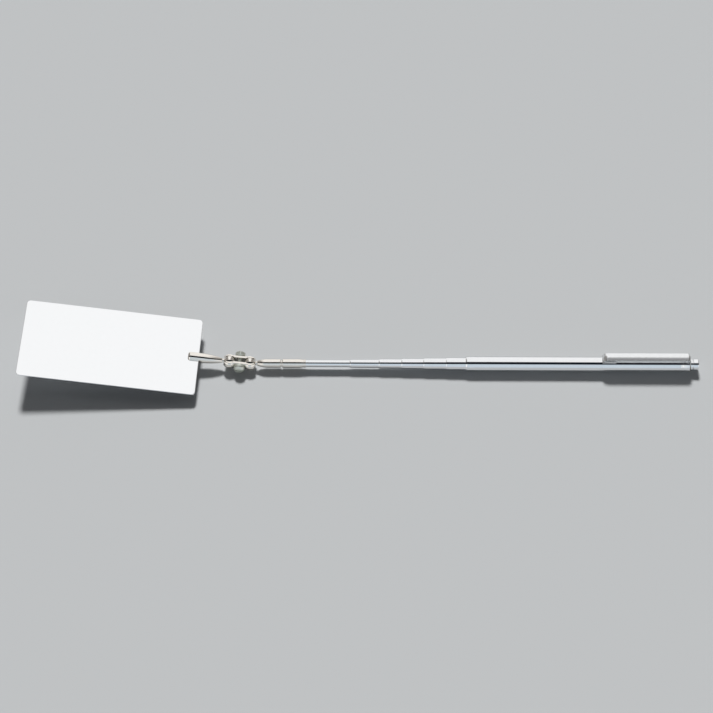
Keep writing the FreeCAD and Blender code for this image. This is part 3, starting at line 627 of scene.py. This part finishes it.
ferrule_near, ferrule_far, ferrule_radius = along_tool("ferrule")
nose_ring = 0.9
nose_ring_radius = 2.12
nose_radius = 1.98
taper_end = 3.3
solder_gap = 0.01
rod_socket = rod_radius + solder_gap
rod_socket_end = 5.0
web_end = 6.3
pin_chamber = 1.55
pin_bore = 1.25
roll_length = 0.7

ferrule_outline = soft_corners(
    [
        (ferrule_near, rod_socket, 0),
        (ferrule_near, nose_ring_radius, 0.10),
        (ferrule_near + nose_ring, nose_ring_radius, 0.10),
        (ferrule_near + nose_ring, nose_radius, 0.05),
        (ferrule_near + taper_end, ferrule_radius, 2.0),
        (ferrule_far, ferrule_radius, 0.35),
        (ferrule_far, pin_bore, 0.05),
        (ferrule_far - roll_length, pin_bore, 0),
        (ferrule_far - roll_length, pin_chamber, 0),
        (ferrule_near + web_end, pin_chamber, 0),
        (ferrule_near + web_end, 0, 0),
    ]
)
socket_floor = [(ferrule_near + rod_socket_end, 0), (ferrule_near + rod_socket_end, rod_socket)]
ferrule_outline = np.concatenate([ferrule_outline, socket_floor])
turned_nickel = metal("turned_nickel", nickel, 0.14, tool_frame, turned_grain, 0.0012)
ferrule = turned("ferrule_shell", ferrule_outline, tool_frame)
standing(ferrule, turned_nickel, "rod", "ferrule")

# ---------------------------------------------------------------------------------------------------------
# Stems and balls. Each stem is a turned nickel ogive, bored at its nose for the shank of a ball stud. The rod
# stem has a headed pin that turns in the ferrule. The mirror stem is longer, and its slotted end grips the
# mirror.


def frame_matrix(origin, along, upwards):
    """The place of a piece whose local X points along, with local Z as near to upwards as it can be."""
    x_axis = Vector(along).normalized()
    y_axis = Vector(upwards).cross(x_axis).normalized()
    z_axis = x_axis.cross(y_axis)
    place = Matrix((x_axis, y_axis, z_axis)).transposed().to_4x4()
    place.translation = Vector(origin)
    return place


def ogive(start, length, nose, full, steps=24):
    """A stem that swells from its nose radius to its full radius, as a tangent arc run backwards."""
    return tangent_arc(start + length, full, -length, full - nose, steps)[::-1]


rod_ball_at = Vector(joints["rod_swing"]["pos_m"])
mirror_ball_at = Vector(joints["mirror_swing"]["pos_m"])
stem_axis = Vector(joints["mirror_spin"]["axis"])
plate_points = np.array([vertex.co for vertex in frame["nodes"]["mirror_plate"].data.vertices])
thinnest_way = np.linalg.svd(plate_points - plate_points.mean(axis=0), full_matrices=False)[2][2]
plate_normal = Vector(thinnest_way * np.sign(thinnest_way[2]))
rod_stem_frame = frame_matrix(rod_ball_at, (1, 0, 0), (0, 0, 1))
mirror_frame = frame_matrix(mirror_ball_at, stem_axis, plate_normal)

nose_reach = 3.8
stem_nose = 1.25
shank_bore = 1.05
shank_chamber = 1.45
shank_shoulder = 6.95
shank_room = 8.25
stud_hole = [
    (shank_room, 0),
    (shank_room, shank_chamber),
    (shank_shoulder, shank_chamber),
    (shank_shoulder, shank_bore),
    (nose_reach, shank_bore),
]

rod_stem_radius = 2.25
rod_ogive = 5.2
rod_stem_end = 15.7
waist_radius = 1.7
waist_end = 16.3
pin_radius = 1.2
pin_head = 1.5
pin_head_start = 21.0
pin_end = 21.8
rod_stem_outline = np.concatenate(
    [
        stud_hole,
        ogive(nose_reach, rod_ogive, stem_nose, rod_stem_radius),
        soft_corners(
            [
                (nose_reach + rod_ogive, rod_stem_radius, 0),
                (rod_stem_end, rod_stem_radius, 0.25),
                (rod_stem_end, waist_radius, 0.08),
                (waist_end, waist_radius, 0.08),
                (waist_end, pin_radius, 0),
                (pin_head_start, pin_radius, 0),
                (pin_head_start, pin_head, 0.08),
                (pin_end, pin_head, 0.08),
                (pin_end, 0, 0),
            ]
        )[1:],
    ]
)
rod_stem = turned("rod_stem_turned", rod_stem_outline, rod_stem_frame)
standing(rod_stem, turned_nickel, "rod_swivel", "rod_stem")

mirror_stem_radius = 2.55
mirror_ogive = 11.0
jaws_end = 21.2
jaws_rounding = 1.3
slot_start = 15.6
slot_half = 0.51
cutter_margin = 1
mirror_stem_outline = np.concatenate(
    [
        stud_hole,
        ogive(nose_reach, mirror_ogive, stem_nose, mirror_stem_radius, 36),
        soft_corners(
            [
                (nose_reach + mirror_ogive, mirror_stem_radius, 0),
                (jaws_end, mirror_stem_radius, jaws_rounding),
                (jaws_end, 0, 0),
            ],
            per_arc=14,
        )[1:],
    ]
)


def block(low, high, place):
    """A plain block between two corners in mm, used only to cut with."""
    square = np.array([(0, 0, 0), (0, 1, 0), (0, 1, 1), (0, 0, 1)], float)
    loops = np.stack([square, square + (1, 0, 0)])
    low, high = np.array(low, float), np.array(high, float)
    return skin("cutter", low + (high - low) * loops, place, capped=True)


stem_nickel = metal("stem_nickel", nickel, 0.14, mirror_frame, turned_grain, 0.0012)
mirror_stem = turned("mirror_stem_turned", mirror_stem_outline, mirror_frame)
slot_low = (slot_start, -mirror_stem_radius - cutter_margin, -slot_half)
slot_high = (jaws_end + cutter_margin, mirror_stem_radius + cutter_margin, slot_half)
cut_away(mirror_stem, block(slot_low, slot_high, mirror_frame))
standing(mirror_stem, stem_nickel, "mirror", "mirror_stem")

ball_radius = 2.8
neck_radius = 1.0
head_start = 7.0
head_end = 8.2
head_radius = 1.4
fillet_turn = 0.06
fillet_reach = 0.15
neck_start = math.sqrt(ball_radius**2 - neck_radius**2)
ball_turn = np.linspace(0, math.pi - math.asin(neck_radius / ball_radius) - fillet_turn, 56)
ball_outline = np.stack([-ball_radius * np.cos(ball_turn), ball_radius * np.sin(ball_turn)], axis=1)
ball_outline[0, 1] = 0
stud_outline = np.concatenate(
    [
        ball_outline,
        soft_corners(
            [
                (neck_start + fillet_reach, neck_radius, 0),
                (head_start, neck_radius, 0),
                (head_start, head_radius, 0.1),
                (head_end, head_radius, 0.15),
                (head_end, 0, 0),
            ]
        ),
    ]
)
rod_stud_nickel = metal("rod_stud_nickel", nickel, 0.12, rod_stem_frame, turned_grain, 0.0006)
rod_stud = turned("rod_ball", stud_outline, rod_stem_frame)
standing(rod_stud, rod_stud_nickel, "rod_swivel", "rod_ball_stud")
mirror_stud_nickel = metal("mirror_stud_nickel", nickel, 0.12, mirror_frame, turned_grain, 0.0006)
mirror_stud = turned("mirror_ball", stud_outline, mirror_frame)
standing(mirror_stud, mirror_stud_nickel, "mirror_ball", "mirror_ball_stud")

# ---------------------------------------------------------------------------------------------------------
# Clamp plates. Two nickel-plated strips, bent round both balls, with a waist for the screw between them. Each
# bow is crowned outside, and inside it is pressed into a cup that follows the ball down to a thick lip.

ball_line = mirror_ball_at - rod_ball_at
ball_spacing = ball_line.length / MM
screw_axis = Vector(joints["screw_turn"]["axis"]).normalized()
clamp_middle = (rod_ball_at + mirror_ball_at) / 2
clamp_frame = frame_matrix(clamp_middle, ball_line, ball_line.cross(screw_axis))
bow_outside = 3.75
strip_thickness = 1.3
strip_half = 2.2
seat_level = 2.6
bow_wrap = math.radians(52)
socket_radius = 2.83
strip_rounding = 0.35
strip_crown = 2.9
crown_rounding = 0.12
lip_radius = 1.85
lip_full = math.radians(12)
lip_fades = math.radians(54)
crown_start = 2.3
crown_full = 3.6
push_limit = 0.8
hole_radius = 1.35
drill_reach = 9
bow_inside = bow_outside - strip_thickness
ball_at = ball_spacing / 2
outer_join = ball_at - math.sqrt(bow_outside**2 - seat_level**2)
inner_join = ball_at - math.sqrt(bow_inside**2 - (seat_level - strip_thickness) ** 2)
outer_sweep = bow_wrap + math.asin((ball_at - outer_join) / bow_outside)
inner_sweep = bow_wrap + math.asin((ball_at - inner_join) / bow_inside)


def bow_and_waist(radius, sweep, join, level, bow_steps, waist_steps):
    """Half of one face of the strip, from its end to the middle: an arc round the ball, from the wrap angle
    past it to where it meets the waist, and then the waist as a straight line to the screw."""
    angle = math.pi / 2 - bow_wrap + np.linspace(0, sweep, bow_steps)
    bow = np.stack([ball_at + radius * np.cos(angle), radius * np.sin(angle)], axis=1)
    waist_x = np.linspace(join, 0, waist_steps + 1)[1:]
    return np.concatenate([bow, np.stack([waist_x, 0 * waist_x + level], axis=1)])


def on_screw_line(level):
    """The clamp's frame, with its X turned down the screw's line, at a level in mm on that line."""
    place = clamp_frame @ Matrix.Rotation(-math.pi / 2, 4, "Z")
    place.translation = clamp_frame @ Vector((0, level * MM, 0))
    return place


def eased(share):
    """Clips a share to 0..1 and smooths its ends: 3 share^2 - 2 share^3."""
    share = np.clip(share, 0, 1)
    return share**2 * (3 - 2 * share)


def clamp_strip(name, side):
    """The strip as a loft: at each step along it, its section runs up the inner face and back down the outer
    one. The inner face is pushed out to the ball's socket wherever that lies deeper, and near the middle of a
    bow it follows the socket in again as a cup, down to its lip. The outer face falls off towards both edges:
    beside a ball by a crown, radius - sqrt(radius^2 - level^2), and by a small edge rounding."""
    outer = bow_and_waist(bow_outside, outer_sweep, outer_join, seat_level, 30, 10)
    inner = bow_and_waist(bow_inside, inner_sweep, inner_join, seat_level - strip_thickness, 30, 10)
    outer = np.concatenate([outer, outer[-2::-1] * (-1, 1)])
    inner = np.concatenate([inner, inner[-2::-1] * (-1, 1)])
    depth = outer - inner
    thick = np.linalg.norm(depth, axis=1, keepdims=True)

    inner_level = strip_half * np.sin(np.linspace(-math.pi / 2, math.pi / 2, 33))
    beside = np.abs(inner[:, :1]) - ball_at
    cup = np.sqrt(np.maximum(socket_radius**2 - inner_level**2 - beside**2, 0))
    pushed = np.minimum(np.maximum(cup - inner[:, 1:], 0) / thick, push_limit)
    aside = np.abs(np.arctan2(beside, inner[:, 1:]))
    cupped = eased((lip_fades - aside) / (lip_fades - lip_full))
    socket = np.sqrt(np.maximum(socket_radius**2 - inner_level**2, 0))
    pushed = pushed - cupped * np.maximum(bow_inside - np.maximum(socket, lip_radius), 0) / thick

    outer_level = strip_half * np.sin(np.linspace(math.pi / 2, -math.pi / 2, 41))
    into_bow = eased((np.abs(outer[:, :1]) - crown_start) / (crown_full - crown_start))
    crown = strip_crown - np.sqrt(strip_crown**2 - outer_level**2)
    rounding = strip_rounding + (crown_rounding - strip_rounding) * into_bow
    past_flat = np.maximum(np.abs(outer_level) - strip_half + rounding, 0)
    fall = into_bow * crown + rounding - np.sqrt(np.maximum(rounding**2 - past_flat**2, 0))
    kept = 1 - fall / thick

    share = np.concatenate([pushed, kept], axis=1)[:, :, None]
    level = np.concatenate([inner_level, outer_level])[None, :, None] + 0 * share
    grid = np.concatenate([inner[:, None] + depth[:, None] * share, level], axis=2)
    grid[:, :, 1] *= side
    return skin(name, grid, clamp_frame, capped=True)


plated_strip = metal("plated_strip", nickel, 0.17, clamp_frame, (0.5, 4, 6), 0.0020)
for side, node in ((1, "clamp_plate_front"), (-1, "clamp_plate_rear")):
    strip = clamp_strip(node.replace("plate", "strip"), side)
    cut_away(strip, drill(0, drill_reach, hole_radius, on_screw_line(0)))
    standing(strip, plated_strip, "clamp", node)

# ---------------------------------------------------------------------------------------------------------
# Clamp screw, spring washer and nut. A zinc-plated slotted pan-head screw with a rolled thread goes through
# both plates. A split washer under the hexagon nut keeps the grip on the balls.

zinc = (0.80, 0.83, 0.76)
pan_widest = 2.8
pan_height = 2.8
pan_rim = 1.2
pan_flat = 1.2
pan_seat = 2.4
thread_crest = 1.25
thread_depth = 0.24
thread_pitch = 0.45
thread_sharpness = 1.4
thread_fade = 0.5
tip_taper = 0.3
washer_thickness = 0.6
nut_height = 2.0
past_nut = 0.3
screw_length = 2 * seat_level + washer_thickness + nut_height + past_nut
slot_width = 0.6
slot_depth = 0.9
shank_start = 0.02
screw_spokes = 48
screw_frame = on_screw_line(seat_level)
screw_angles = np.arange(screw_spokes)[None, :] * 2 * np.pi / screw_spokes


def threaded_shank(start, end, steps_per_turn=12):
    """A rolled thread: at the angle a and the distance x along it, the radius is the crest less the depth
    times a rounded wave of x / pitch - a / full turn. It fades out at the head and tapers at the end."""
    along = np.linspace(start, end, int((end - start) / thread_pitch * steps_per_turn))[:, None]
    phase = along / thread_pitch - screw_angles / (2 * np.pi)
    wave = 0.5 - 0.5 * np.cos(2 * np.pi * phase)
    fade = np.clip((along - start) / thread_fade, 0, 1)
    taper = np.clip((end - along) / tip_taper, 0, 1)
    radius = thread_crest - thread_depth * wave**thread_sharpness * fade
    radius = np.minimum(radius, thread_crest - tip_taper * (1 - taper))
    return round_axis(along, radius, screw_angles)


head_outline = np.concatenate(
    [
        [(-pan_height, 0)],
        tangent_arc(-pan_rim, pan_widest, pan_rim - pan_height, pan_widest - pan_flat)[::-1],
        [(0, pan_seat), (0, thread_crest)],
    ]
)
head_grid = round_axis(head_outline[:, :1], head_outline[:, 1:], screw_angles)
shank_grid = threaded_shank(shank_start, screw_length)
tip_grid = shank_grid[-1:] * (1, 0, 0)
screw_grid = np.concatenate([head_grid, shank_grid, tip_grid])
zinc_screw = metal("zinc_screw", zinc, 0.48, screw_frame, (6, 3, 3), 0.0030, smudge=0.06)
screw = skin("clamp_screw_threaded", screw_grid, screw_frame, sharp=40)
driver_low = (-pan_height - cutter_margin, -pan_widest - cutter_margin, -slot_width / 2)
driver_high = (-pan_height + slot_depth, pan_widest + cutter_margin, slot_width / 2)
cut_away(screw, block(driver_low, driver_high, screw_frame))
standing(screw, zinc_screw, "screw", "clamp_screw")

washer_radius = 2.35
washer_hole = 1.33
washer_split = 0.5
washer_section = soft_corners(
    [
        (0, washer_hole, 0.08),
        (0, washer_radius, 0.12),
        (washer_thickness, washer_radius, 0.12),
        (washer_thickness, washer_hole, 0.08),
    ]
)
half_split = math.asin(washer_split / 2 / washer_radius)
washer_angles = np.linspace(half_split, 2 * math.pi - half_split, 72)
washer_grid = round_axis(washer_section[:, :1], washer_section[:, 1:], washer_angles).swapaxes(0, 1)
washer = skin("lock_washer", washer_grid, on_screw_line(-seat_level), capped=True)
standing(washer, zinc_screw, "clamp", "spring_washer")

nut_flats = 5.0
nut_chamfer = 0.35
nut_bore = 1.27
bore_chamfer = 0.2
corner_wear = 0.06
face_inset = 0.12

# The nut's side is a hexagon whose corners are cut by a cone towards each face, and its bore is chamfered.
nut_frame = on_screw_line(-seat_level - washer_thickness)
nut_angles = np.arange(144)[None, :] * 2 * np.pi / 144
to_flat = (nut_angles + np.pi / 6) % (np.pi / 3) - np.pi / 6
flat_radius = nut_flats / 2
corner_radius = flat_radius / math.cos(math.pi / 6)
hexagon = np.minimum(flat_radius / np.cos(to_flat), corner_radius - corner_wear)
chamfer_steps = np.linspace(0, nut_chamfer, 8)
side_steps = np.linspace(nut_chamfer, nut_height - nut_chamfer, 4)[1:-1]
nut_along = np.concatenate([chamfer_steps, side_steps, nut_height - chamfer_steps[::-1]])[:, None]
from_face = np.minimum(nut_along, nut_height - nut_along)
cone_start = flat_radius - face_inset
cone = cone_start + from_face * (corner_radius - cone_start) / nut_chamfer
nut_side = round_axis(nut_along, np.minimum(hexagon, cone), nut_angles)
bore_outline = np.array(
    [
        (nut_height, nut_bore + bore_chamfer),
        (nut_height - bore_chamfer, nut_bore),
        (bore_chamfer, nut_bore),
        (0, nut_bore + bore_chamfer),
    ]
)
nut_inside = round_axis(bore_outline[:, :1], bore_outline[:, 1:], nut_angles)
nut = skin("clamp_nut_hexagon", np.concatenate([nut_side, nut_inside]), nut_frame, ring_rows=True, sharp=24)
standing(nut, zinc_screw, "clamp", "clamp_nut")

# ---------------------------------------------------------------------------------------------------------
# Mirror. A stainless plate with rounded corners and softened edges, polished to a mirror in front and left
# satin behind. Its short edge sits in the stem's slot.

mirror_near = 15.6
mirror_length = 90.0
mirror_width = 45.0
mirror_thickness = 1.0
mirror_corner = 2.0
mirror_edge = 0.2
polished_steel = (0.93, 0.94, 0.95)
satin_steel = (0.72, 0.73, 0.74)


def rounded_plate(inset, level):
    """The plate's outline at a level, drawn in all round by an inset: four lines joined by corner arcs."""
    near, far = mirror_near + inset, mirror_near + mirror_length - inset
    half = mirror_width / 2 - inset
    corner = mirror_corner - inset
    corners = [(near, -half, corner), (far, -half, corner), (far, half, corner), (near, half, corner)]
    outline = soft_corners(corners, per_arc=10)
    return np.concatenate([outline, np.full((len(outline), 1), level)], axis=1)


edge_turn = np.linspace(0, math.pi / 2, 6)
edge_inset = mirror_edge * (1 - np.sin(edge_turn))
edge_level = mirror_thickness / 2 - mirror_edge + mirror_edge * np.cos(edge_turn)
upper = [rounded_plate(inset, level) for inset, level in zip(edge_inset, edge_level)]
lower = [rounded_plate(inset, -level) for inset, level in zip(edge_inset[::-1], edge_level[::-1])]
mirror = skin("mirror_sheet", np.array(upper + lower), mirror_frame, capped=True)
cloudy = (0.5, 0.5, 0.5)
brushed = (0.3, 12, 12)
mirror_face = metal("mirror_face", polished_steel, 0.025, mirror_frame, cloudy, 0.0, smudge=0.012, tint=0.01)
mirror_back = metal("mirror_back", satin_steel, 0.30, mirror_frame, brushed, 0.0020, smudge=0.05)
standing(mirror, mirror_face, "mirror", "mirror_plate")
mirror.data.materials.append(mirror_back)
normals = np.empty(3 * len(mirror.data.polygons), dtype=np.float32)
mirror.data.polygons.foreach_get("normal", normals)
faces_back = normals.reshape(-1, 3) @ np.array(plate_normal) < -0.5
mirror.data.polygons.foreach_set("material_index", faces_back.astype(np.int32))
